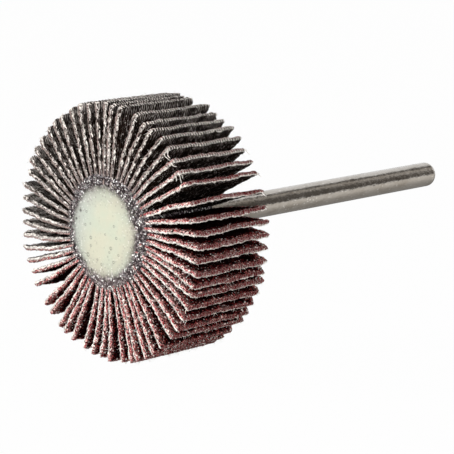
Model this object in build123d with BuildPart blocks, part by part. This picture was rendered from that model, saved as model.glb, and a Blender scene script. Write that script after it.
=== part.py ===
from build123d import *
import math
import os
import random

os.makedirs("parts", exist_ok=True)

# Flap wheel on a plain steel shank, in millimetres.
# The wheel spins about the Y axis. The origin is on that axis, in the plane of the flaps' back
# edges: the wheel's face looks towards -Y, the shank leaves towards +Y, and +Z is up.
# Every angle is in degrees, clockwise as seen from the wheel's face, and 0 is +X.

# Wheel
wheel_diameter = 30.0
wheel_width = 11.5

# Flaps of coated abrasive cloth
flap_count = 58
flap_thickness = 0.45
root_gap = 0.113  # thread of resin between the roots of two flaps
root_seat = 1.7  # length of each root that the resin holds
bow_rise = 0.2  # rise of a flap's curve over its length
bow_swing = 0.12  # change of that rise, which comes and goes round the wheel
bow_waves = 5
bow_scatter = 0.04
tip_wear = 0.3  # how much shorter the most worn flap is than the least worn
stagger = 0.22  # how far the flaps' side edges stand in and out of line

# Lean of the flaps, set where the bundle was when the resin gelled
first_root_deg = -81.2
first_lean_deg = 1.9
root_drift_deg = 2.2  # roots pushed up towards the top of the wheel from both sides
root_crowding_deg = 1.25
tip_wander_deg = 0.3
# Places round the rim where neighbouring tips stand further apart than the rest, or closer:
# the angle on from the first flap, and the extra angle between the two tips there.
partings = (
    (3, 3.8), (53, 2.2), (59, 2.0), (96, -2.1), (127, 2.8), (152, -2.0), (164, 3.2), (189, 2.1),
    (202, -1.9), (208, 2.1), (220, 4.1), (276, 1.6), (301, 2.1), (320, 2.3), (351, -2.1),
)

# Resin core, cast between the roots and round the tang
face_dip = 0.1  # the middle of the core's face lies this far behind the flaps' front edges
face_margin = 0.3  # the face ends this far inside the roots
face_fall = 0.2  # fall of the face from its middle to its edge
wick_fall = 0.55  # further fall of the resin between the roots
back_dip = 0.7
meniscus_width = 1.3  # the resin climbs the shank over this width

# Shank
shank_diameter = 3.175
shank_reach = 46.7  # from the back plane to the far end
shank_end_radius = 1.0
tang_step = 0.2  # the tang inside the resin is turned down by this much all round
tang_cover = 2.0  # resin in front of the tang
neck_length = 1.0  # plain neck between the shoulder and the knurl
knurl_depth = 0.12
knurl_teeth = 18

# Worked out from the sizes above
wheel_radius = wheel_diameter / 2
shank_radius = shank_diameter / 2
flap_width = wheel_width - stagger
root_radius = flap_count * (flap_thickness + root_gap) / (2 * math.pi)
core_radius = root_radius + root_seat
half_thickness = flap_thickness / 2
tang_radius = shank_radius - tang_step
tang_length = wheel_width - tang_cover


def rim_point(radius, angle, depth):
    """Point at a radius and an angle, the given depth in front of the back plane."""
    turn = math.radians(angle)
    return Vector(radius * math.cos(turn), -depth, -radius * math.sin(turn))


def root_angle(index):
    """Angle at which a flap leaves the core."""
    angle = first_root_deg + index * 360 / flap_count
    turn = math.radians(angle)
    return angle - root_drift_deg * math.sin(turn) - root_crowding_deg * math.cos(2 * turn)


def tip_angle(index):
    """Angle of a flap's tip, with the partings that come before it."""
    even = index * 360 / flap_count
    share = 1 - sum(extra for place, extra in partings) / 360
    opened = sum(extra for place, extra in partings if place < even)
    return first_root_deg + first_lean_deg + even * share + opened


# Flaps: each is a strip with a slight curve, cut to length and set on edge round the core
chance = random.Random(58)
flaps = []
for index in range(flap_count):
    wear = tip_wear * chance.random() ** 2
    wander = tip_wander_deg * chance.uniform(-1, 1)
    swing = math.sin(bow_waves * math.radians(root_angle(index)))
    bow = bow_rise + bow_swing * swing + bow_scatter * chance.uniform(-1, 1)
    back_edge = stagger * chance.random()

    root = rim_point(root_radius, root_angle(index), back_edge)
    tip = rim_point(wheel_radius - wear, tip_angle(index) + wander, back_edge)
    length = (tip - root).length

    with BuildPart() as flap:
        with BuildSketch(Plane(origin=root, x_dir=tip - root, z_dir=(0, -1, 0))) as strip_section:
            with BuildLine() as strip_outline:
                grit_side = ThreePointArc(
                    (0, half_thickness), (length / 2, bow + half_thickness), (length, half_thickness)
                )
                cloth_side = ThreePointArc(
                    (0, -half_thickness), (length / 2, bow - half_thickness), (length, -half_thickness)
                )
                Line(grit_side @ 0, cloth_side @ 0)
                Line(grit_side @ 1, cloth_side @ 1)
            make_face()
        extrude(amount=flap_width)
    flap.part.label = f"flap_{index + 1:02d}"
    flaps.append(flap.part)

# Shank: plain rod outside, and inside the wheel a turned-down tang with straight knurling
with BuildPart() as shank:
    with BuildSketch(Plane.XZ) as rod_section:
        Circle(shank_radius)
    extrude(amount=-shank_reach)
    fillet(shank.edges().filter_by(GeomType.CIRCLE).sort_by(Axis.Y)[-1], shank_end_radius)

    with BuildSketch(Plane.XZ) as tang_section:
        Circle(tang_radius)
    extrude(amount=tang_length)

    with BuildSketch(Plane.XZ.offset(neck_length)) as knurl_section:
        with PolarLocations(tang_radius, knurl_teeth):
            RegularPolygon(radius=knurl_depth, side_count=4)
    extrude(amount=tang_length - neck_length, mode=Mode.SUBTRACT)
shank.part.label = "shank"

# Resin core: turned form of the casting, less the tang and the flaps' roots
face_radius = root_radius - face_margin
face_middle = face_dip - wheel_width
face_rim = face_middle + face_fall
face_edge = face_rim + wick_fall

# The turned form starts and ends in the resin midway between two flaps
seam_direction = rim_point(1, (root_angle(0) + root_angle(1)) / 2, 0)
section_plane = Plane(origin=(0, 0, 0), x_dir=seam_direction, z_dir=seam_direction.cross(Vector(0, 1, 0)))

with BuildPart() as resin_core:
    with BuildSketch(section_plane) as core_section:
        with BuildLine() as core_outline:
            face = TangentArc((0, face_middle), (face_radius, face_rim), tangent=(1, 0))
            wick = Line(face @ 1, (core_radius, face_edge))
            back = Line((core_radius, -back_dip), (shank_radius + meniscus_width, -back_dip))
            Polyline(back @ 1, (shank_radius, 0), (0, 0), face @ 0)
            Line(wick @ 1, back @ 0)
        make_face()
    revolve(axis=Axis.Y)
    add([shank.part, *flaps], mode=Mode.SUBTRACT)
resin_core.part.label = "resin_core"

for piece in (resin_core.part, shank.part, *flaps):
    export_step(piece, f"parts/{piece.label}.step")
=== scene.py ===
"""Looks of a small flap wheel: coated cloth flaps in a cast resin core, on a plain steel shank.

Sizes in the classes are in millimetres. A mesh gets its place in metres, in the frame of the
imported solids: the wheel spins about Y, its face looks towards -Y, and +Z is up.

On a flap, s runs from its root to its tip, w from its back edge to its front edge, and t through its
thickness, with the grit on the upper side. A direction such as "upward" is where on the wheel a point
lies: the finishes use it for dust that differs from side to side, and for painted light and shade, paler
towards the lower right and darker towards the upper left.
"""

import logging
import math
import random
from dataclasses import dataclass
from enum import IntEnum
from functools import reduce

import bpy
import numpy as np
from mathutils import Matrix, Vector

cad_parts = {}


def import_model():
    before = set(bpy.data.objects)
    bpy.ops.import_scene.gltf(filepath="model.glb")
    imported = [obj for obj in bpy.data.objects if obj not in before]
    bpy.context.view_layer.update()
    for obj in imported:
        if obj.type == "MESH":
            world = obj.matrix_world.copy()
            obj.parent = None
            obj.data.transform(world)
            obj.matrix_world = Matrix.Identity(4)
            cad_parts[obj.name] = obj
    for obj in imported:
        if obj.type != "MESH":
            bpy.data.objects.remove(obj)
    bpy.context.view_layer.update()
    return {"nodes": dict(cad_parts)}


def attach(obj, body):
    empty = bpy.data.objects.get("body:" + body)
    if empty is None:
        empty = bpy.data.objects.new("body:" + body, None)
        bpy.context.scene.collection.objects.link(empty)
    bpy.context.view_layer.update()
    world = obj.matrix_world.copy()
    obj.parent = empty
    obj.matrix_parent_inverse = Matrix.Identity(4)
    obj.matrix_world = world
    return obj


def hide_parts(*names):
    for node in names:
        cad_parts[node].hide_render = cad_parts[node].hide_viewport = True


MM = 0.001
TURN = 2 * math.pi
BODY = "root"
FACEWARD = np.array([0.0, -1.0, 0.0])
WHITE = (1.0, 1.0, 1.0)
MATT = {"Specular IOR Level": 0.0}
LOG = logging.getLogger("flap_wheel")

Colour = tuple[float, float, float]
Triple = tuple[float, float, float]
Pair = tuple[float, float]
Array = np.ndarray
Material = bpy.types.Material
Node = bpy.types.Node
Piece = bpy.types.Object
Socket = bpy.types.NodeSocket


class Side(IntEnum):
    """A surface of a flap. The number is also its place among the flap's materials."""

    GRIT = 0
    CLOTH = 1
    CUT = 2


class Rim(IntEnum):
    """A free edge of a flap."""

    FRONT = 0
    BACK = 1
    TIP = 2


class Value:
    """An output of a node. Its sums and blends with others add the nodes that make them."""

    def __init__(self, wiring: "Wiring", socket: Socket) -> None:
        """Keeps the output and the wiring of its tree."""
        self.wiring, self.socket = wiring, socket

    def __add__(self, other: object) -> "Value":
        """Adds another value or a number."""
        return self.wiring.maths("ADD", self, other)

    def __sub__(self, other: object) -> "Value":
        """Takes another value or a number away."""
        return self.wiring.maths("SUBTRACT", self, other)

    def __rsub__(self, other: float) -> "Value":
        """Takes the value from a number."""
        return self.wiring.maths("SUBTRACT", other, self)

    def __mul__(self, other: object) -> "Value":
        """Multiplies by another value or a number."""
        return self.wiring.maths("MULTIPLY", self, other)

    def __truediv__(self, other: object) -> "Value":
        """Divides by another value or a number."""
        return self.wiring.maths("DIVIDE", self, other)

    def __rtruediv__(self, other: float) -> "Value":
        """Divides a number by the value."""
        return self.wiring.maths("DIVIDE", other, self)

    def span(self, low: float, high: float, to_low: float = 0.0, to_high: float = 1.0) -> "Value":
        """Goes smoothly from to_low to to_high as the value goes from low to high."""
        inputs = {0: self, 1: low, 2: high, 3: to_low, 4: to_high}
        return self.wiring.value("ShaderNodeMapRange", inputs, interpolation_type="SMOOTHSTEP")

    def fade(self, shares: Pair) -> "Value":
        """Goes from the first share to the second as a mask goes from 0 to 1."""
        return self.span(0.0, 1.0, *shares)

    def scaled(self, *factors: float) -> "Value":
        """Multiplies a vector by one factor for each direction."""
        return self.wiring.value("ShaderNodeVectorMath", {0: self, 1: factors}, operation="MULTIPLY")

    def parts(self) -> tuple["Value", ...]:
        """Splits a vector into its three numbers."""
        return tuple(self.wiring.values("ShaderNodeSeparateXYZ", {0: self}).values())


class Wiring:
    """Puts nodes into one node tree and joins their sockets."""

    def __init__(self, tree: bpy.types.NodeTree) -> None:
        """Keeps the tree that the nodes go into."""
        self.tree = tree

    @classmethod
    def of(cls, owner: bpy.types.ID) -> "Wiring":
        """Gives a material or a world an empty node tree to wire.

        Args:
            owner: the material or world.

        Returns:
            The tree's wiring.
        """
        owner.use_nodes = True
        owner.node_tree.nodes.clear()
        return cls(owner.node_tree)

    def feed(self, socket: Socket, value: object) -> None:
        """Links an output to a socket, or sets the socket's own value.

        Args:
            socket: the input socket.
            value: an output, or a plain number, vector or colour.
        """
        value = value.socket if isinstance(value, Value) else value
        if isinstance(value, Socket):
            self.tree.links.new(value, socket)
        else:
            socket.default_value = (*value, 1.0) if socket.type == "RGBA" else value

    def node(self, kind: str, inputs: dict | None = None, **settings: object) -> Node:
        """Adds a node.

        Args:
            kind: the node's type name.
            inputs: what goes to its inputs, by socket name or number.
            settings: the node's own properties.

        Returns:
            The new node.
        """
        made = self.tree.nodes.new(kind)
        for name, value in settings.items():
            setattr(made, name, value)
        for key, value in (inputs or {}).items():
            self.feed(made.inputs[key], value)
        return made

    def value(self, kind: str, inputs: dict | None = None, which: int | str = 0,
              **settings: object) -> Value:
        """Adds a node and gives one of its outputs."""
        return Value(self, self.node(kind, inputs, **settings).outputs[which])

    def values(self, kind: str, inputs: dict | None = None, **settings: object) -> dict[str, Value]:
        """Adds a node and gives its outputs by name."""
        return {out.name: Value(self, out) for out in self.node(kind, inputs, **settings).outputs}

    def maths(self, operation: str, a: object, b: object = 0.0, **settings: object) -> Value:
        """Adds a Math node for a sum of one or two values, named as Blender names it."""
        return self.value("ShaderNodeMath", {0: a, 1: b}, operation=operation, **settings)

    def most(self, *values: Value) -> Value:
        """Gives the greatest of values."""
        return reduce(lambda a, b: self.maths("MAXIMUM", a, b), values)

    def mix(self, share: object, a: object, b: object) -> Value:
        """Gives colour a with a share of colour b in its place."""
        return self.value("ShaderNodeMix", {0: share, 6: a, 7: b}, 2, data_type="RGBA")

    def ramp(self, value: object, stops: tuple[tuple[float, Colour], ...], steps: bool = False) -> Value:
        """Adds a Color Ramp node.

        Args:
            value: where on the ramp the colour is read.
            stops: the places and colours along the ramp.
            steps: whether each colour holds until the next one.

        Returns:
            The colour.
        """
        made = self.node("ShaderNodeValToRGB", {0: value})
        ramp = made.color_ramp
        ramp.interpolation = "CONSTANT" if steps else "LINEAR"
        while len(ramp.elements) < len(stops):
            ramp.elements.new(1.0)
        for element, (place, colour) in zip(ramp.elements, stops):
            element.position = place
            element.color = (*colour, 1.0)
        return Value(self, made.outputs[0])

    def noise(self, place: object, size: float, detail: float = 2.0, roughness: float = 0.5) -> Value:
        """Gives noise of about 0 to 1 at a place, with blots of a size, both in millimetres."""
        inputs = {"Vector": place, "Scale": 1.0 / size, "Detail": detail, "Roughness": roughness}
        return self.value("ShaderNodeTexNoise", inputs, "Fac")

    def object_mm(self) -> Value:
        """Gives the piece's own coordinates in millimetres."""
        return self.value("ShaderNodeTexCoord", which="Object").scaled(*(1 / MM,) * 3)

    def strip_place(self) -> Value:
        """Gives the place on a flap's flat strip, in millimetres, as the flap's mesh keeps it."""
        return self.value("ShaderNodeAttribute", which="Vector", attribute_name="strip_place")

    def mesh_value(self, name: str) -> Value:
        """Gives a number that a mesh keeps at each of its points."""
        return self.value("ShaderNodeAttribute", which="Fac", attribute_name=name)

    def effect(self, group: bpy.types.NodeTree, **inputs: object) -> dict[str, Value]:
        """Adds one of the shared effects, and gives its outputs by name."""
        return self.values("ShaderNodeGroup", inputs, node_tree=group)

    def cover(self, shader: Node, tone: Value, height: Value, strength: float, depth: float) -> None:
        """Gives a shader its colour and its relief.

        Args:
            shader: the Principled shader.
            tone: the colour.
            height: the relief, about 0 to 1.
            strength: how much of the relief shows.
            depth: how deep it is, in millimetres.
        """
        relief = {"Strength": strength, "Distance": depth * MM, "Height": height}
        self.feed(shader.inputs["Base Color"], tone)
        self.feed(shader.inputs["Normal"], self.node("ShaderNodeBump", relief).outputs[0])


class Effects:
    """The shader effects that the finishes share, each built once as a node group."""

    def __init__(self) -> None:
        """Builds the groups."""
        self.grains = self._build_grains()
        self.weave = self._build_weave()
        self.specks = self._build_specks()

    @staticmethod
    def _start(name: str, inputs: tuple[str, ...], outputs: tuple[str, ...]) -> tuple[Wiring, dict, Node]:
        """Starts a node group. Its input named Place is a vector, and all else is a plain value.

        Args:
            name: the group's name.
            inputs: the names of its inputs.
            outputs: the names of its outputs.

        Returns:
            The wiring of its tree, its inputs by name, and its output node.
        """
        tree = bpy.data.node_groups.new(name, "ShaderNodeTree")
        for direction, labels in (("INPUT", inputs), ("OUTPUT", outputs)):
            for label in labels:
                kind = "NodeSocketVector" if label == "Place" else "NodeSocketFloat"
                tree.interface.new_socket(name=label, in_out=direction, socket_type=kind)
        wiring = Wiring(tree)
        return wiring, wiring.values("NodeGroupInput"), wiring.node("NodeGroupOutput")

    def _build_grains(self) -> bpy.types.NodeTree:
        """Builds packed grains: a random tone for each, and their height.

        Returns:
            The group.
        """
        wiring, given, out = self._start("packed_grains", ("Place", "Size"), ("Tone", "Height"))
        pitch = 1.0 / given["Size"]
        cells = wiring.values("ShaderNodeTexVoronoi", {"Vector": given["Place"], "Scale": pitch})
        tone = wiring.value("ShaderNodeSeparateColor", {0: cells["Color"]})
        wiring.feed(out.inputs["Tone"], tone)
        height = wiring.maths("SUBTRACT", 1.0, cells["Distance"], use_clamp=True)
        wiring.feed(out.inputs["Height"], height)
        return wiring.tree

    def _build_weave(self) -> bpy.types.NodeTree:
        """Builds the ribs of a plain weave whose heavy threads run along X.

        Returns:
            The group.
        """
        wiring, given, out = self._start("ribbed_weave", ("Place", "Pitch"), ("Crown",))
        along, across, _ = given["Place"].parts()
        wander = wiring.noise(given["Place"], 1 / 1.1, 1.0)
        turn = across / given["Pitch"] + wander
        rib = wiring.maths("ABSOLUTE", wiring.maths("SINE", turn * math.pi))
        step = wiring.maths("FLOOR", turn) * math.pi
        beat = along * math.pi / given["Pitch"]
        over = wiring.maths("SINE", beat + step) * 0.16
        wiring.feed(out.inputs["Crown"], rib * (over + 0.84))
        return wiring.tree

    def _build_specks(self) -> bpy.types.NodeTree:
        """Builds scattered specks: a mask that is 1 on the share of small cells that Share names.

        Returns:
            The group.
        """
        wiring, given, out = self._start("scattered_specks", ("Place", "Size", "Share"), ("Mask",))
        grains = wiring.effect(self.grains, Place=given["Place"], Size=given["Size"])
        chosen = wiring.maths("LESS_THAN", grains["Tone"], given["Share"])
        wiring.feed(out.inputs["Mask"], chosen * grains["Height"].span(0.45, 0.7))
        return wiring.tree


def new_material(name: str, constants: dict[str, float]) -> tuple[Material, Wiring, Node]:
    """Starts a material with one Principled shader.

    Args:
        name: the material's name.
        constants: the shader's inputs that are the same all over, by name.

    Returns:
        The material, the wiring of its tree, and its shader node.
    """
    material = bpy.data.materials.new(name)
    wiring = Wiring.of(material)
    shader = wiring.node("ShaderNodeBsdfPrincipled", constants)
    wiring.node("ShaderNodeOutputMaterial", {"Surface": shader.outputs[0]})
    return material, wiring, shader


@dataclass(frozen=True)
class GritCoat:
    """Aluminium oxide grains in maroon size coat, duller and paler where the edge has worked."""

    # near-black, both for random black grains and as painted shade between the grains and deep in the slot
    pit_and_slot_shade: Colour = (0.004, 0.001, 0.001)
    deep: Colour = (0.110, 0.009, 0.010)
    body: Colour = (0.390, 0.050, 0.050)
    stone: Colour = (0.740, 0.320, 0.270)
    # pale grains, which also stand for painted glints of light on the grit
    spark: Colour = (1.000, 0.880, 0.830)
    dust: Colour = (0.920, 0.500, 0.460)
    grain: float = 0.18
    fine_grain: float = 0.081
    dust_share: float = 0.5
    relief: float = 0.08

    def material(self, effects: Effects) -> Material:
        """Builds the finish.

        Args:
            effects: the shared node groups.

        Returns:
            The material.
        """
        material, wiring, shader = new_material("maroon_grit", MATT)
        place = wiring.strip_place()
        grains = wiring.effect(effects.grains, Place=place, Size=self.grain)
        fine = wiring.effect(effects.grains, Place=place, Size=self.fine_grain)
        stops = ((0.0, self.pit_and_slot_shade), (0.14, self.deep), (0.34, self.body), (0.62, self.deep),
                 (0.74, self.stone), (0.82, self.body), (0.90, self.spark))
        tone = wiring.ramp(grains["Tone"], stops, steps=True)
        # painted shade: the low places between the grains go near-black, as shade in the crevices
        tone = wiring.mix(grains["Height"].span(0.46, 0.66), self.pit_and_slot_shade, tone)

        # painted shade: deep in the slot the grit is darkened to black, as the flap in front shades it;
        # near the free edges it gets painted glints and gathers dust
        depth = wiring.mesh_value("slot_depth") + wiring.noise(place, 1.2, 3.0, 0.7)
        tone = wiring.mix(depth.span(0.70, 1.40, 0.0, 0.95), tone, self.pit_and_slot_shade)
        # painted glints: the brightest grains take the spark colour again after the painted shade, fading
        # out deeper in the slot
        glint = wiring.maths("GREATER_THAN", grains["Tone"], 0.93)
        glint = glint * depth.span(0.55, 1.2, 0.9, 0.0)
        tone = wiring.mix(glint, tone, self.spark)
        dusted = depth.span(0.95, 0.45) * fine["Tone"].span(0.3, 0.8)
        tone = wiring.mix(dusted * self.dust_share, tone, self.dust)

        wiring.feed(shader.inputs["Roughness"], grains["Tone"].fade((0.62, 0.34)))
        height = grains["Height"] + fine["Height"] * 0.4
        wiring.cover(shader, tone, height, 0.9, self.relief)
        return material


@dataclass(frozen=True)
class ClothBack:
    """Ribbed cotton soaked in dark size: pale fluff on the ribs, with near-black between them."""

    valley: Colour = (0.005, 0.003, 0.002)
    body: Colour = (0.024, 0.013, 0.009)
    crown: Colour = (0.500, 0.450, 0.415)
    # pale greys of rubbed and bare cloth; on the left of the wheel they also stand for painted light
    worn: Colour = (0.560, 0.520, 0.480)
    bare: Colour = (0.860, 0.800, 0.750)
    speck: Colour = (0.800, 0.740, 0.690)
    pitch: float = 0.32
    speck_share: float = 0.85
    patch_share: float = 0.8
    relief: float = 0.10

    def material(self, effects: Effects) -> Material:
        """Builds the finish.

        Args:
            effects: the shared node groups.

        Returns:
            The material.
        """
        material, wiring, shader = new_material("cloth_back", {**MATT, "Roughness": 0.85})
        place = wiring.strip_place()
        crown = wiring.effect(effects.weave, Place=place, Pitch=self.pitch)["Crown"]
        fluff = wiring.noise(place.scaled(0.28, 1.5, 1.0), 0.18, 3.0, 0.7)
        tone = wiring.mix(crown.span(0.1, 0.7), self.valley, self.body)
        pale = crown.span(0.35, 0.95) * fluff.span(0.50, 0.66)
        tone = wiring.mix(pale, tone, self.crown)

        # rubbed grey towards the tips, paler on the left of the wheel as painted light, and bare on the
        # ribs at the very tip, more so on the left, also as painted light
        tip_distance = wiring.mesh_value("tip_distance")
        rightward, _, upward = wiring.object_mm().parts()
        blots = wiring.noise(place, 0.32, 4.0, 0.7).span(0.42, 0.58)
        rubbed = tip_distance.span(7.0, 1.0) * blots
        # painted light: the left side of the wheel, where the light falls, gets more of the pale grey
        leftward = rightward.span(3.0, -9.0, 0.05, 0.95) * upward.span(9.0, 3.0, 0.3, 1.0)
        tone = wiring.mix(rubbed * leftward, tone, self.worn)
        bared = tip_distance.span(1.2, 0.2) * crown.span(0.45, 0.80)
        bared = bared * rightward.span(7.0, -3.0, 0.30, 0.95)
        tone = wiring.mix(bared, tone, self.bare)

        stretched = place.scaled(0.5, 1.0, 1.0)
        specks = wiring.effect(effects.specks, Place=stretched, Size=0.13, Share=0.09)["Mask"]
        tone = wiring.mix(specks * self.speck_share, tone, self.speck)
        patches = wiring.noise(place, 1.5, 4.0, 0.6).span(0.44, 0.58)
        tone = wiring.mix(patches * self.patch_share, tone, self.valley)
        wiring.cover(shader, tone, crown + fluff * 0.6, 1.0, self.relief)
        return material


@dataclass(frozen=True)
class CutEdge:
    """Cut edge of the cloth: cream thread ends, with the maroon coat along the grit side."""

    thread: Colour = (0.990, 0.930, 0.870)
    shade: Colour = (0.200, 0.160, 0.140)
    streak: Colour = (0.060, 0.042, 0.036)
    # near-black, for dark flecks and as painted shade in hollows and in the gaps between thread ends
    black_and_hollow_shade: Colour = (0.006, 0.003, 0.002)
    coat: Colour = (0.440, 0.080, 0.088)
    deep_coat: Colour = (0.120, 0.012, 0.014)
    grit: Colour = (0.780, 0.400, 0.370)
    dusty: Colour = (0.270, 0.225, 0.205)
    wick: Colour = (0.105, 0.080, 0.080)
    pitch: float = 0.38
    relief: float = 0.10
    # how much of each shows on flaps that point up, and on those that point down or to the right
    hollow_shares: Pair = (0.97, 0.40)
    fleck_shares: Pair = (0.97, 0.70)
    gap_shares: Pair = (0.95, 0.45)
    streak_shares: Pair = (0.70, 0.25)
    end_shares: Pair = (0.90, 0.12)
    soil_share: float = 0.05
    # how far the coat rolls over the edge, as a share of the thickness
    roll_front: Pair = (0.14, 0.24)
    roll_tip: float = 0.44

    def material(self, effects: Effects) -> Material:
        """Builds the finish.

        Args:
            effects: the shared node groups.

        Returns:
            The material.
        """
        material, wiring, shader = new_material("cut_edge", {**MATT, "Roughness": 0.9})
        place = wiring.strip_place()
        along, widthways, _ = place.parts()
        rightward, _, upward = wiring.object_mm().parts()
        layer = wiring.mesh_value("layer")
        tipward = wiring.mesh_value("tip_distance").span(0.25, 0.10)
        fluff = wiring.noise(place, 0.15, 3.0, 0.7)
        grains = wiring.effect(effects.grains, Place=place, Size=0.13)["Tone"]
        stretched = place.scaled(0.45, 1.0, 1.0)
        tufts = wiring.effect(effects.grains, Place=stretched, Size=0.25)["Height"]
        beat = wiring.maths("ABSOLUTE", wiring.maths("SINE", widthways * (math.pi / self.pitch)))

        # masks of where on the wheel the edges get painted light, paler on the lower right with less
        # painted shade, and where they are red with coat
        sideways = wiring.most(rightward * 0.15, rightward * 0.6)
        painted_light_side = (sideways - upward).span(-7.0, 3.0)
        sideways = wiring.most(rightward * 0.3, rightward * 0.85)
        ruddy = (sideways - upward).span(-3.5, 4.0)

        # the cloth: fluffy threads, with painted shade in the hollows between tufts and in the gaps
        # between thread ends, dark flecks and streaks, all fewer where the painted light falls, and resin
        # wicked up at the root
        tone = wiring.mix(fluff.span(0.36, 0.45), self.shade, self.thread)
        sunk = (tipward * 0.10 - tufts).span(-0.56, -0.38)
        tone = wiring.mix(sunk * painted_light_side.fade(self.hollow_shares), tone, self.black_and_hollow_shade)
        stretched = place.scaled(0.7, 1.0, 1.0)
        flecks = wiring.effect(effects.specks, Place=stretched, Size=0.19, Share=0.15)["Mask"]
        tone = wiring.mix(flecks * painted_light_side.fade(self.fleck_shares), tone, self.black_and_hollow_shade)
        between = beat.span(0.80, 0.55) * tipward * painted_light_side.fade(self.gap_shares)
        tone = wiring.mix(between, tone, self.black_and_hollow_shade)
        fibres = wiring.noise(place.scaled(0.25, 1.0, 1.7), 0.17, 2.0, 0.6)
        fibres = fibres.span(0.53, 0.45) * painted_light_side.fade(self.streak_shares)
        tone = wiring.mix(fibres, tone, self.streak)
        soiled = wiring.noise(place, 0.9, 4.0, 0.65).span(0.48, 0.60)
        tone = wiring.mix(soiled * self.soil_share, tone, self.shade)
        wicked = along.span(4.2, 1.8) * grains.span(0.25, 0.55)
        tone = wiring.mix(wicked, tone, self.wick)

        # the coat: grains in maroon, greyer at the top of the wheel, deeper towards the grit
        turned = upward.span(-5.0, -11.0, *self.roll_front)
        rolled = ruddy * wiring.most(turned, tipward * self.roll_tip)
        coated = (layer + fluff * 0.5 + rolled).span(0.82, 0.94)
        stops = ((0.0, self.black_and_hollow_shade), (0.18, self.coat), (0.42, self.deep_coat), (0.62, self.grit),
                 (0.86, self.thread))
        red = wiring.ramp(grains, stops, steps=True)
        red = wiring.mix(0.90 - ruddy * 0.90, red, self.dusty)
        banded = ruddy * layer.span(0.35, 0.95, 0.08, 0.42) + 0.48
        red = wiring.mix(tipward * banded, red, self.deep_coat)
        tone = wiring.mix(coated, tone, red)

        # on the tips, a cream line along the cloth side and the bright ends of the cut threads
        lined = ruddy * layer.span(0.32, 0.16, 0.0, 0.70)
        lined = lined * fluff.span(0.36, 0.46, 0.35, 1.0) * tipward
        tone = wiring.mix(lined, tone, self.thread)
        ends = beat.span(0.70, 0.88) * tipward * fluff.span(0.38, 0.46)
        tone = wiring.mix(ends * painted_light_side.fade(self.end_shares), tone, self.thread)
        wiring.cover(shader, tone, tufts + fluff, 0.9, self.relief)
        return material


@dataclass(frozen=True)
class ThreadFibre:
    """Loose cotton: cream ends and hairs, some grey with dust."""

    name: str = "thread_fibre"
    pale: Colour = (0.980, 0.940, 0.880)
    dusty: Colour = (0.190, 0.155, 0.135)
    relief: float = 0.03

    def material(self, effects: Effects) -> Material:
        """Builds the finish.

        Args:
            effects: the shared node groups.

        Returns:
            The material.
        """
        material, wiring, shader = new_material(self.name, {**MATT, "Roughness": 0.88})
        place = wiring.object_mm()
        rightward, _, upward = place.parts()
        specks = wiring.effect(effects.specks, Place=place, Size=0.20, Share=0.30)["Mask"]
        # the dust is random, and painted light shifts it: less towards the lower right, more on the upper
        # left
        painted_light_side = (rightward * 0.3 - upward).span(-7.0, 3.0)
        soil = wiring.noise(place, 0.4, 4.0, 0.65) - painted_light_side * 0.12
        soil = soil - rightward.span(0.0, 8.0, 0.0, 0.07)
        tone = wiring.mix(wiring.most(specks, soil.span(0.47, 0.57)), self.pale, self.dusty)
        wiring.cover(shader, tone, wiring.noise(place, 0.07, 2.0), 0.7, self.relief)
        return material


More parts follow.
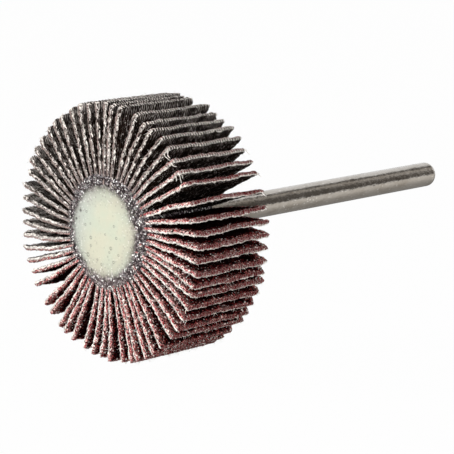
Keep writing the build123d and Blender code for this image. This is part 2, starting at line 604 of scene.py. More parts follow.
@dataclass(frozen=True)
class CastResin:
    """Cloudy white epoxy: clear and greenish at its rim, and grey with grit where it has wicked out."""

    milk: Colour = (0.545, 0.583, 0.465)
    warm: Colour = (0.588, 0.583, 0.456)
    cool: Colour = (0.485, 0.537, 0.492)
    soaked: Colour = (0.210, 0.170, 0.175)
    deep: Colour = (0.070, 0.045, 0.048)
    dark: Colour = (0.022, 0.014, 0.016)
    dust: Colour = (0.400, 0.350, 0.350)
    glint: Colour = (1.000, 0.990, 0.970)
    flushed: Colour = (0.560, 0.430, 0.420)
    bubble: Colour = (0.090, 0.090, 0.075)
    pool_radius: float = 4.95
    pool_blur: float = 0.62
    pool_shift: Triple = (0.16, 0.0, -0.06)
    relief: float = 0.09

    def material(self, effects: Effects) -> Material:
        """Builds the finish.

        Args:
            effects: the shared node groups.

        Returns:
            The material.
        """
        constants = {"Coat Weight": 0.15, "Coat Roughness": 0.2}
        material, wiring, shader = new_material("cast_resin", constants)
        place = wiring.object_mm()
        rightward, _, upward = place.parts()
        flat = place.scaled(1.0, 0.0, 1.0)
        shift = {0: flat, 1: self.pool_shift}
        shifted = wiring.value("ShaderNodeVectorMath", shift, operation="ADD")
        out = wiring.value("ShaderNodeVectorMath", {0: shifted}, "Value", operation="LENGTH")

        # the pool: cloudy white, cooler on the left, with froth and painted white glints towards its rim
        white = wiring.mix(wiring.noise(flat, 3.0, 2.0).span(0.36, 0.64), self.milk, self.warm)
        leftward = (upward * 0.35 - rightward).span(1.2, 5.0)
        white = wiring.mix(leftward * 0.7, white, self.cool)
        white = wiring.mix(out.span(2.8, 5.0, 0.0, 0.20), white, self.soaked)
        froth = wiring.effect(effects.specks, Place=place, Size=0.24, Share=0.22)["Mask"]
        white = wiring.mix(froth * out.span(2.6, 5.0, 0.05, 0.60), white, self.soaked)
        glint_specks = wiring.effect(effects.specks, Place=place, Size=0.19, Share=0.14)["Mask"]
        white = wiring.mix(glint_specks * out.span(2.4, 4.8, 0.06, 0.50), white, self.glint)
        white = wiring.mix(upward.span(2.0, 5.0, 0.0, 0.08), white, self.soaked)
        white = wiring.mix(wiring.mesh_value("bubble"), white, self.bubble)

        # the ring round it: resin between the roots, full of grit and dust, with painted white glints,
        # darker at the top
        grit = wiring.effect(effects.grains, Place=place, Size=0.21)
        stops = ((0.0, self.dark), (0.30, self.soaked), (0.56, self.deep), (0.68, self.dust),
                 (0.89, self.glint))
        grey = wiring.ramp(grit["Tone"], stops, steps=True)
        grey = wiring.mix(grit["Height"].span(0.40, 0.62), self.dark, grey)
        grey = wiring.mix(upward.span(3.0, 6.0, 0.0, 0.25), grey, self.dark)
        grey = wiring.mix(upward.span(-3.0, -6.0, 0.0, 0.10), grey, self.flushed)

        # the ragged, speckled edge between them
        ragged = wiring.noise(flat, 1.6, 3.0, 0.6) * 1.4
        edge = out - ragged + 0.7
        outside = edge.span(self.pool_radius - self.pool_blur, self.pool_radius + self.pool_blur)
        speckled = wiring.maths("GREATER_THAN", outside + grit["Tone"], 1.05)
        veil = outside * (speckled * 0.35 + 0.65)

        lumps = grit["Height"] + wiring.noise(place, 0.2, 2.0)
        lumps = lumps * out.span(4.5, 5.5, 0.05, 1.0)
        wiring.feed(shader.inputs["Roughness"], out.span(4.8, 5.6, 0.42, 0.26))
        wiring.cover(shader, wiring.mix(veil, white, grey), lumps, 0.8, self.relief)
        return material


@dataclass(frozen=True)
class GroundSteel:
    """Plain steel rod, ground round and dulled by handling."""

    bare: Colour = (0.480, 0.450, 0.415)
    worn: Colour = (0.380, 0.345, 0.305)
    speck: Colour = (0.740, 0.720, 0.690)
    relief: float = 0.07

    def material(self, effects: Effects) -> Material:
        """Builds the finish.

        Args:
            effects: the shared node groups.

        Returns:
            The material.
        """
        material, wiring, shader = new_material("ground_steel", {"Metallic": 1.0})
        place = wiring.object_mm()
        drawn_out = place.scaled(1.0, 0.6, 1.0)
        stain = wiring.noise(place.scaled(1.0, 0.35, 1.0), 1.2, 4.0, 0.6)
        mottle = wiring.noise(drawn_out, 0.42, 3.0, 0.6)
        rings = wiring.noise(place.scaled(0.2, 3.0, 0.2), 0.12, 2.0)
        specks = wiring.effect(effects.specks, Place=drawn_out, Size=0.22, Share=0.10)["Mask"]
        tone = wiring.mix(stain.span(0.42, 0.70), self.bare, self.worn)
        tone = wiring.mix(specks * 0.5, tone, self.speck)
        wiring.feed(shader.inputs["Roughness"], mottle.span(0.35, 0.65, 0.08, 0.20))
        wiring.cover(shader, tone, mottle + rings * 0.12, 0.6, self.relief)
        return material


def deselect_all() -> None:
    """Leaves nothing selected, so that the next operator acts on its own piece alone."""
    bpy.ops.object.select_all(action="DESELECT")


def select_only(piece: Piece) -> None:
    """Selects one piece and makes it the active one.

    Args:
        piece: the piece.
    """
    deselect_all()
    piece.select_set(True)
    bpy.context.view_layer.objects.active = piece


def name_new(name: str) -> Piece:
    """Names the primitive or the copy that was made last, and gives it back.

    Args:
        name: its name.

    Returns:
        The piece.
    """
    piece = bpy.context.active_object
    piece.name = piece.data.name = name
    return piece


def link_new(name: str, data: bpy.types.ID) -> Piece:
    """Puts an object with the given data into the scene.

    Args:
        name: its name.
        data: its mesh, curve, light or camera.

    Returns:
        The object.
    """
    made = bpy.data.objects.new(name, data)
    bpy.context.scene.collection.objects.link(made)
    return made


def edit_all() -> None:
    """Goes into edit mode with everything selected."""
    bpy.ops.object.mode_set(mode="EDIT")
    bpy.ops.mesh.select_all(action="SELECT")


def close_edit() -> None:
    """Turns all the faces outwards and leaves edit mode."""
    bpy.ops.mesh.select_all(action="SELECT")
    bpy.ops.mesh.normals_make_consistent(inside=False)
    bpy.ops.object.mode_set(mode="OBJECT")


def points_of(mesh: bpy.types.Mesh) -> Array:
    """Reads a mesh's points, one row each.

    Args:
        mesh: the mesh.

    Returns:
        The points.
    """
    flat = np.empty(len(mesh.vertices) * 3)
    mesh.vertices.foreach_get("co", flat)
    return flat.reshape(-1, 3)


def move_points(mesh: bpy.types.Mesh, points: Array) -> None:
    """Puts a mesh's points where the rows say, in millimetres."""
    mesh.vertices.foreach_set("co", (points * MM).astype(np.float32).ravel())
    mesh.update()


def keep_values(mesh: bpy.types.Mesh, name: str, values: Array) -> None:
    """Keeps numbers or vectors at a mesh's points for its material.

    Args:
        mesh: the mesh.
        name: the attribute's name.
        values: one number or one row of three for each point.
    """
    vector = values.ndim == 2
    attribute = mesh.attributes.new(name, "FLOAT_VECTOR" if vector else "FLOAT", "POINT")
    attribute.data.foreach_set("vector" if vector else "value", values.astype(np.float32).ravel())


def dress(piece: Piece, slot: str, *finishes: Material) -> None:
    """Gives a piece its materials and its body.

    Args:
        piece: the finished piece.
        slot: the record's material slot; not used.
        finishes: the piece's materials, in order.
    """
    piece.data.materials.clear()
    for finish in finishes:
        piece.data.materials.append(finish)
    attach(piece, BODY)


def smooth_step(values: Array | float, low: Array | float, high: Array | float) -> Array:
    """Rises smoothly from 0 at low to 1 at high."""
    share = np.clip((values - low) / (high - low), 0.0, 1.0)
    return share * share * (3.0 - 2.0 * share)


def take_form(master: Piece) -> tuple[Array, Array]:
    """Reads a small form's points and its faces' corners, and deletes the form.

    Args:
        master: the form.

    Returns:
        The points, one row each, and the corners of each face.
    """
    form = points_of(master.data), np.array([tuple(face.vertices) for face in master.data.polygons])
    bpy.data.objects.remove(master)
    return form


def join_copies(name: str, points: Array, faces: Array) -> Piece:
    """Makes one piece of many small forms that have the same faces.

    Args:
        name: the new piece's name.
        points: the points of each form, one block each, in millimetres.
        faces: the corners of one form's faces.

    Returns:
        The piece.
    """
    offsets = np.arange(len(points))[:, None, None] * points.shape[1]
    corners = (faces[None] + offsets).reshape(-1, faces.shape[1])
    mesh = bpy.data.meshes.new(name)
    mesh.from_pydata((points.reshape(-1, 3) * MM).tolist(), [], corners.tolist())
    mesh.update()
    return link_new(name, mesh)


@dataclass
class FlapPlace:
    """Where one flap stands, and the small waves in its cloth."""

    number: int
    root: Array
    along: Array
    across: Array
    length: float
    width: float
    bow: float
    waves: Array
    held: float = 1.7

    def lift(self, s: Array, w: Array) -> Array:
        """Gives the strip's rise from the straight line root to tip.

        Args:
            s: distances from the root.
            w: distances from the back edge.

        Returns:
            The rise towards the grit side.
        """
        bowed = self.bow * (1.0 - (2.0 * s / self.length - 1.0) ** 2)
        loose = smooth_step(s, self.held, 5.5)
        near_front = smooth_step(w, self.width - 3.0, self.width)
        near_tip = smooth_step(s, self.length - 2.5, self.length)
        ripple = np.zeros_like(s)
        for s_turns, w_turns, phase, amount in self.waves:
            ripple += amount * np.sin(s_turns * s + w_turns * w + phase)
        return bowed + ripple * loose * (0.35 + 0.65 * np.maximum(near_front, near_tip))

    def at(self, s: Array, w: Array, t: Array) -> Array:
        """Bends points of the flat strip, t above its middle, to their place on the wheel."""
        rise = (self.lift(s, w) + t)[:, None]
        return self.root + s[:, None] * self.along + rise * self.across + w[:, None] * FACEWARD

    def on_edge(self, rim: Rim, share: float, t: float) -> tuple[Array, Array, Array]:
        """Finds a place on a free edge.

        Args:
            rim: the edge.
            share: how far along the edge, from the root or from the back.
            t: height above the strip's middle.

        Returns:
            The point, the direction out of the edge, and the direction along it.
        """
        if rim is Rim.TIP:
            s, w, out, run = self.length, share * self.width, self.along, FACEWARD
        elif rim is Rim.FRONT:
            s, w, out, run = share * self.length, self.width, FACEWARD, self.along
        else:
            s, w, out, run = share * self.length, 0.0, -FACEWARD, self.along
        return self.at(np.array([s]), np.array([w]), np.array([t]))[0], out, run


@dataclass
class FlapRing:
    """Fifty-eight flaps of coated cloth, bent from one cut strip and set round the core."""

    wheel_diameter: float = 30.0
    wheel_width: float = 11.5
    count: int = 58
    thickness: float = 0.45
    root_gap: float = 0.113
    bow_rise: float = 0.2
    bow_swing: float = 0.12
    bow_waves: int = 5
    bow_scatter: float = 0.04
    tip_wear: float = 0.3
    stagger: float = 0.22
    first_root_deg: float = -81.2
    first_lean_deg: float = 1.9
    root_drift_deg: float = 2.2
    root_crowding_deg: float = 1.25
    tip_wander_deg: float = 0.3
    # angle on from the first flap, and the extra angle between the two tips there
    partings: tuple[Pair, ...] = (
        (3, 3.8), (53, 2.2), (59, 2.0), (96, -2.1), (127, 2.8), (152, -2.0), (164, 3.2), (189, 2.1),
        (202, -1.9), (208, 2.1), (220, 4.1), (276, 1.6), (301, 2.1), (320, 2.3), (351, -2.1),
    )
    # shortest and longest wave in the cloth, and its height
    ripples: tuple[Triple, ...] = (
        (6.0, 11.0, 0.08), (2.2, 4.0, 0.04), (1.6, 3.0, 0.035), (0.8, 1.4, 0.028), (0.6, 1.0, 0.022),
    )
    cells_along: int = 46
    cells_across: int = 52
    cell_swell: float = 0.12
    grain_height: float = 0.075
    fluff_height: float = 0.03
    splay_reach: float = 0.9
    flare_reach: float = 0.35
    thread_out_tip: float = 0.085
    thread_out_side: float = 0.04
    edge_rag: Pair = (-0.07, 0.04)
    edge_jitter: float = 0.06
    corner_reach: float = 0.32
    corner_nip: Pair = (0.05, 0.16)
    # step of strip_place from flap to flap, so that no two have the same pattern
    number_step: float = 10.0

    def root_angle(self, index: int) -> float:
        """Angle at which a flap leaves the core, clockwise from +X as the face is seen.

        Args:
            index: the flap's place in the ring, from 0.

        Returns:
            The angle in degrees.
        """
        angle = self.first_root_deg + index * 360 / self.count
        turn = math.radians(angle)
        return angle - self.root_drift_deg * math.sin(turn) - self.root_crowding_deg * math.cos(2 * turn)

    def tip_angle(self, index: int) -> float:
        """Angle of a flap's tip, with the partings that come before it.

        Args:
            index: the flap's place in the ring, from 0.

        Returns:
            The angle in degrees.
        """
        even = index * 360 / self.count
        share = 1 - sum(extra for place, extra in self.partings) / 360
        opened = sum(extra for place, extra in self.partings if place < even)
        return self.first_root_deg + self.first_lean_deg + even * share + opened

    @staticmethod
    def _rim_point(radius: float, angle: float, depth: float) -> Array:
        """Point at a radius and an angle, the given depth in front of the back plane."""
        turn = math.radians(angle)
        return np.array([radius * math.cos(turn), -depth, -radius * math.sin(turn)])

    def places(self) -> list[FlapPlace]:
        """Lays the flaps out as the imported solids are.

        Returns:
            One place for each flap.
        """
        chance, draw = random.Random(58), random.Random(7)
        root_radius = self.count * (self.thickness + self.root_gap) / TURN
        found = []
        for index in range(self.count):
            wear = self.tip_wear * chance.random() ** 2
            wander = self.tip_wander_deg * chance.uniform(-1, 1)
            swing = math.sin(self.bow_waves * math.radians(self.root_angle(index)))
            bow = self.bow_rise + self.bow_swing * swing + self.bow_scatter * chance.uniform(-1, 1)
            back_edge = self.stagger * chance.random()
            reach = self.wheel_diameter / 2 - wear
            root = self._rim_point(root_radius, self.root_angle(index), back_edge)
            tip = self._rim_point(reach, self.tip_angle(index) + wander, back_edge)
            length = float(np.linalg.norm(tip - root))
            along = (tip - root) / length
            across = np.array([-along[2], 0.0, along[0]])
            waves = [
                (TURN / draw.uniform(short, long), TURN / draw.uniform(short, long) * draw.choice((-1, 1)),
                 draw.uniform(0, TURN), height * draw.uniform(0.5, 1.0))
                for short, long, height in self.ripples
            ]
            width = self.wheel_width - self.stagger
            found.append(FlapPlace(index + 1, root, along, across, length, width, bow, np.array(waves)))
        return found

    def master_strip(self) -> Piece:
        """Models the flat strip: a fine grid, raised three times for the layers of its edge.

        Returns:
            The strip, one unit long, wide and thick.
        """
        deselect_all()
        cells = {"x_subdivisions": self.cells_along, "y_subdivisions": self.cells_across}
        bpy.ops.mesh.primitive_grid_add(size=1.0, **cells)
        strip = name_new("flat_strip")
        edit_all()
        for _ in range(3):
            bpy.ops.mesh.extrude_region_move(TRANSFORM_OT_translate={"value": (0.0, 0.0, 1.0 / 3.0)})
        close_edit()
        for _ in Side:
            strip.data.materials.append(None)
        normals = np.empty(len(strip.data.polygons) * 3)
        strip.data.polygons.foreach_get("normal", normals)
        tilt = normals.reshape(-1, 3)[:, 2]
        sides = np.where(tilt > 0.7, Side.GRIT, np.where(tilt < -0.7, Side.CLOTH, Side.CUT))
        strip.data.polygons.foreach_set("material_index", sides.astype(np.int32))
        strip.data.polygons.foreach_set("use_smooth", (sides == Side.CLOTH))
        return strip

    def shape(self, mesh: bpy.types.Mesh, place: FlapPlace) -> None:
        """Bends a copy of the strip to one flap, with its grains, its ragged edges and its waves.

        Args:
            mesh: the copy's mesh.
            place: where the flap stands.
        """
        flat = points_of(mesh)
        chance = np.random.default_rng(1000 + place.number)
        count = len(flat)
        u, v, layer = flat[:, 0] + 0.5, 0.5 - flat[:, 1], flat[:, 2]
        s = place.length * (u + self.cell_swell * np.sin(math.pi * u))
        w = place.width * (v + self.cell_swell * np.sin(math.pi * v))
        t = (layer - 0.5) * self.thickness
        near = 1e-4
        on_tip, on_front, on_back = u > 1 - near, v > 1 - near, v < near
        on_edge = on_tip | on_front | on_back | (u < near)
        top, bottom = layer > 1 - near, layer < near
        free = smooth_step(s, place.held, 3.0)

        # flaps that point up are the most frayed: their tips splay and their front edges flare
        frayed = float(smooth_step(place.along[2] - 1.3 * max(place.along[0], 0.0), 0.1, 0.8))
        splay = chance.uniform(0.0, 0.2) + frayed * chance.uniform(0.15, 0.75)
        t = t * (1.0 + splay * np.exp(-((place.length - s) / self.splay_reach) ** 2))
        flare = chance.uniform(0.0, 0.10) + frayed * chance.uniform(0.05, 0.25)
        t = t * (1.0 + flare * np.exp(-((place.width - w) / self.flare_reach) ** 2) * free)

        # grains on one side, fluff on the other, and threads that stand out of the cut edges
        grain = chance.random(count) ** 1.6
        t = t + np.where(top & ~on_edge, self.grain_height * grain * free, 0.0)
        t = t - np.where(bottom & ~on_edge, self.fluff_height * grain * free, 0.0)
        core = np.where(top | bottom, 0.0, np.where(on_tip, self.thread_out_tip, self.thread_out_side))
        rag = chance.uniform(*self.edge_rag, count) + core
        s = s + np.where(on_tip, rag, 0.0)
        w = w + np.where(on_front, rag * free, 0.0) - np.where(on_back, rag * free, 0.0)
        jitter = chance.uniform(-self.edge_jitter, self.edge_jitter, count) * (1.0 + 0.6 * frayed)
        t = t + np.where(on_edge, jitter * free, 0.0)

        # corners worn round
        for corner_w, inward in ((place.width, 1.0), (0.0, -1.0)):
            reach = np.hypot(place.length - s, corner_w - w)
            nip = np.exp(-(reach / self.corner_reach) ** 2) * chance.uniform(*self.corner_nip)
            s, w = s - nip, w - inward * nip

        # the slot's depth grows inwards from the free edges, and faster where the flaps hang down; the
        # grit's painted shade follows it
        down = -place.along[2]
        shut = 0.55 + 0.95 * float(smooth_step(down, 0.1, 0.6))
        hung = 0.56 + 0.40 * float(smooth_step(down, 0.7, 1.0))
        inside = np.minimum((place.length - s) * shut, np.minimum(place.width - w, w) * hung)
        slot_width = 0.12 + 0.108 * s
        keep_values(mesh, "strip_place", np.stack([s, w, t + self.number_step * place.number], axis=1))
        keep_values(mesh, "layer", layer)
        keep_values(mesh, "tip_distance", place.length - s)
        keep_values(mesh, "slot_depth", inside / slot_width)
        move_points(mesh, place.at(s, w, t))

    def build(self, places: list[FlapPlace], finishes: tuple[Material, ...]) -> None:
        """Models the strip once and bends a copy of it to each flap.

        Args:
            places: the flaps' places.
            finishes: the materials in the order of Side.
        """
        master = self.master_strip()
        for place in places:
            select_only(master)
            bpy.ops.object.duplicate(linked=False)
            piece = name_new(f"cloth_flap_{place.number:02d}")
            self.shape(piece.data, place)
            sides = np.empty(len(piece.data.polygons), dtype=np.int32)
            piece.data.polygons.foreach_get("material_index", sides)
            dress(piece, "abrasive_cloth", *finishes)
            piece.data.polygons.foreach_set("material_index", sides)
            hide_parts(f"flap_{place.number:02d}")
        bpy.data.objects.remove(master)
        LOG.info("%d flaps stand round the core", len(places))


@dataclass
class Fraying:
    """Thread ends that stand out of the flaps' cut edges, the hairs on them, and loose threads."""

    thread_pitch: float = 0.38
    bead_half_length: float = 0.125
    tip_bead_share: float = 0.9
    side_bead_share: float = 0.6
    hairs_per_flap: int = 80
    hair_rims: tuple[tuple[Rim, float], ...] = ((Rim.TIP, 0.5), (Rim.FRONT, 0.38), (Rim.BACK, 0.12))
    hair_length: float = 0.14
    hair_growth: float = 0.30
    hair_radii: Pair = (0.018, 0.036)
    thread_radius: float = 0.06
    thread_steps: int = 8
    thread_curl: float = 0.62
    thread_sag: float = 0.12
    # distance from the root at which the thread ends of an edge start
    bead_starts: tuple[tuple[Rim, float], ...] = ((Rim.TIP, 0.0), (Rim.FRONT, 2.2), (Rim.BACK, 4.0))
    loose_threads: tuple[tuple[int, Rim, float, float, float, float], ...] = (
        # flap, edge, share of the way along it, length, lean towards the grit, lean along the edge
        (2, Rim.FRONT, 0.93, 1.0, -0.8, 0.5),
        (4, Rim.FRONT, 0.95, 0.8, -0.9, 0.2),
        (5, Rim.FRONT, 0.97, 1.4, -1.0, 0.7),
        (6, Rim.FRONT, 0.90, 1.2, -1.0, -0.3),
        (6, Rim.FRONT, 0.96, 1.7, -1.0, 0.9),
        (7, Rim.FRONT, 0.96, 0.9, -1.2, 0.3),
        (8, Rim.FRONT, 0.92, 0.9, -1.3, 0.2),
        (8, Rim.FRONT, 0.96, 1.6, -0.8, 1.1),
        (8, Rim.FRONT, 0.97, 1.1, -1.2, 0.6),
        (9, Rim.FRONT, 0.96, 0.8, -1.2, 0.5),
        (7, Rim.TIP, 0.01, 1.0, -1.4, -0.3),
        (9, Rim.TIP, 0.02, 0.7, -1.3, -0.2),
        (10, Rim.TIP, 0.02, 0.8, -1.2, -0.3),
        (18, Rim.FRONT, 0.98, 0.7, -0.6, 0.3),
        (19, Rim.FRONT, 0.98, 0.6, 0.4, 0.3),
        (27, Rim.TIP, 0.95, 0.5, 0.5, 0.2),
        (31, Rim.TIP, 0.96, 0.5, 0.6, 0.2),
        (38, Rim.TIP, 0.90, 0.9, -1.8, 0.0),
        (40, Rim.TIP, 0.96, 0.6, -1.2, 0.3),
        (42, Rim.TIP, 0.97, 0.8, 0.8, 0.1),
        (45, Rim.TIP, 0.97, 0.6, -0.8, 0.3),
        (49, Rim.TIP, 0.96, 0.6, 0.6, 0.4),
        (52, Rim.TIP, 0.97, 0.5, -0.6, 0.4),
        (5, Rim.TIP, 0.25, 0.9, -1.1, 0.2),
        (5, Rim.TIP, 0.29, 0.8, -0.2, 0.9),
        (5, Rim.TIP, 0.33, 0.7, 0.5, -0.6),
    )

    @staticmethod
    def _finish(piece: Piece, finish: Material) -> None:
        """Turns the piece's faces outwards, smooths it and dresses it.

        Args:
            piece: the piece.
            finish: its material.
        """
        select_only(piece)
        edit_all()
        close_edit()
        bpy.ops.object.shade_smooth()
        dress(piece, "abrasive_cloth", finish)

    def build_ends(self, places: list[FlapPlace], finish: Material) -> None:
        """Sets a small bead for most of the cut threads along every free edge.

        Args:
            places: the flaps.
            finish: the material.
        """
        chance = random.Random(11)
        centres, frames = [], []
        for place in places:
            across = place.across
            for rim, start in self.bead_starts:
                tip = rim is Rim.TIP
                extent = place.width if tip else place.length
                at = start + self.thread_pitch * (0.5 if tip else chance.uniform(0, 1))
                while at < extent - 0.15:
                    if chance.random() < (self.tip_bead_share if tip else self.side_bead_share):
                        point, out, run = place.on_edge(rim, at / extent, chance.uniform(-0.16, -0.08))
                        stretch = 1.0 if tip else chance.uniform(0.7, 3.0)
                        lean = across * chance.uniform(-0.5, 0.5)
                        centres.append(point - out * 0.02)
                        frames.append([
                            run * self.bead_half_length * stretch * chance.uniform(0.8, 1.2),
                            (out + lean) * chance.uniform(0.05, 0.11),
                            (across + run * chance.uniform(-0.4, 0.4)) * chance.uniform(0.07, 0.14),
                        ])
                    at += self.thread_pitch * (1.0 if tip else chance.uniform(0.5, 2.2))
        deselect_all()
        bpy.ops.mesh.primitive_ico_sphere_add(subdivisions=1, radius=1.0)
        form, faces = take_form(name_new("bead"))
        points = np.array(centres)[:, None, :] + np.einsum("pk,nkd->npd", form, np.array(frames))
        self._finish(join_copies("thread_ends", points, faces), finish)
        LOG.info("%d thread ends stand on the cut edges", len(centres))

    @staticmethod
    def hair_form() -> tuple[Array, Array]:
        """Models one straight hair: a three-sided taper with a ring halfway.

        Returns:
            Its points, from -1 to 1 on Z, and its faces' corners.
        """
        deselect_all()
        bpy.ops.mesh.primitive_cone_add(vertices=3, radius1=1.0, radius2=0.35, depth=2.0)
        hair = name_new("hair")
        edit_all()
        bpy.ops.mesh.bisect(plane_co=(0, 0, 0.1), plane_no=(0, 0, 1))
        bpy.ops.mesh.select_all(action="SELECT")
        bpy.ops.mesh.quads_convert_to_tris()
        bpy.ops.object.mode_set(mode="OBJECT")
        return take_form(hair)

    @staticmethod
    def bent_hair(form: Array, base: Array, way: Array, sag: Array, length: float, radius: float) -> Array:
        """Stands one hair on the cloth and bends it.

        Args:
            form: the straight hair's points.
            base: where it leaves the cloth.
            way: the direction that it leaves in.
            sag: how it bends away over its length.
            length: its length.
            radius: its radius at the base.

        Returns:
            Its points.
        """
        way = way / np.linalg.norm(way)
        side = np.cross(way, (0.31, 0.22, 0.93))
        side /= np.linalg.norm(side)
        other = np.cross(way, side)
        share = (form[:, 2:3] + 1) / 2
        body = base + way * length * share + sag * share ** 2
        return body + (side * form[:, 0:1] + other * form[:, 1:2]) * radius

    def build_hairs(self, places: list[FlapPlace], finish: Material) -> None:
        """Scatters short hairs along the cut edges.

        Args:
            places: the flaps.
            finish: the material.
        """
        chance = random.Random(23)
        form, faces = self.hair_form()
        rims, shares = zip(*self.hair_rims)
        hairs = []
        for place in places:
            for _ in range(self.hairs_per_flap):
                rim = chance.choices(rims, shares)[0]
                share = chance.uniform(0.02, 0.98) if rim is Rim.TIP else chance.uniform(0.25, 0.99)
                base, out, run = place.on_edge(rim, share, chance.uniform(-0.2, 0.15))
                way = out * chance.uniform(0.1, 1.0) + run * chance.uniform(-0.9, 0.9)
                way = way + place.across * chance.uniform(-0.9, 0.7)
                length = self.hair_length + self.hair_growth * chance.random() ** 2
                sag = np.array([chance.uniform(-1, 1), chance.uniform(-1, 1), chance.uniform(-1.2, 0.6)])
                radius = chance.uniform(*self.hair_radii)
                hairs.append(self.bent_hair(form, base, way, sag * length * 0.5, length, radius))
        self._finish(join_copies("frayed_hairs", np.array(hairs), faces), finish)
        LOG.info("%d hairs stand on the edges", len(hairs))

    def thread_path(self, start: tuple[Array, Array, Array], across: Array, length: float, leans: Pair,
                    chance: random.Random) -> list[Array]:
        """Lays out one loose thread: it leaves the edge, curls and sags.

        Args:
            start: the point on the edge, the direction out of it and the direction along it.
            across: the direction towards the grit.
            length: the thread's length.
            leans: how far it leans towards the grit, and along the edge.
            chance: the draw of its curls.

        Returns:
            The points that it follows.
        """
        point, out, run = start
        way = out * 0.5 + across * leans[0] + run * leans[1]
        path = [point - out * self.thread_radius]
        for _ in range(self.thread_steps):
            path.append(point)
            way = way / np.linalg.norm(way)
            point = point + way * (length / self.thread_steps)
            curl = np.array([chance.uniform(-1, 1) for _ in range(3)])
            way = way + self.thread_curl * curl + np.array([0.0, 0.0, -self.thread_sag])
        return path

    def build_threads(self, places: list[FlapPlace], finish: Material) -> None:
        """Hangs the loose threads that the wheel has, as thin round tubes.

        Args:
            places: the flaps.
            finish: the material.
        """
        chance = random.Random(41)
        curve = bpy.data.curves.new("loose_threads", "CURVE")
        curve.dimensions = "3D"
        curve.bevel_depth = self.thread_radius * MM
        curve.bevel_resolution = 0
        curve.resolution_u = 3
        curve.use_fill_caps = True
        for number, rim, share, length, *leans in self.loose_threads:
            flap = places[number - 1]
            path = self.thread_path(flap.on_edge(rim, share, -0.08), flap.across, length, leans, chance)
            spline = curve.splines.new("NURBS")
            spline.points.add(len(path) - 1)
            for order, (knot, point) in enumerate(zip(spline.points, path)):
                knot.co = (*(point * MM), 1.0)
                knot.radius = 1.1 - 0.5 * order / len(path)
            spline.order_u = 4
            spline.use_endpoint_u = True
        select_only(link_new("loose_threads", curve))
        bpy.ops.object.convert(target="MESH")
        self._finish(bpy.context.active_object, finish)
        LOG.info("%d loose threads hang from the edges", len(self.loose_threads))


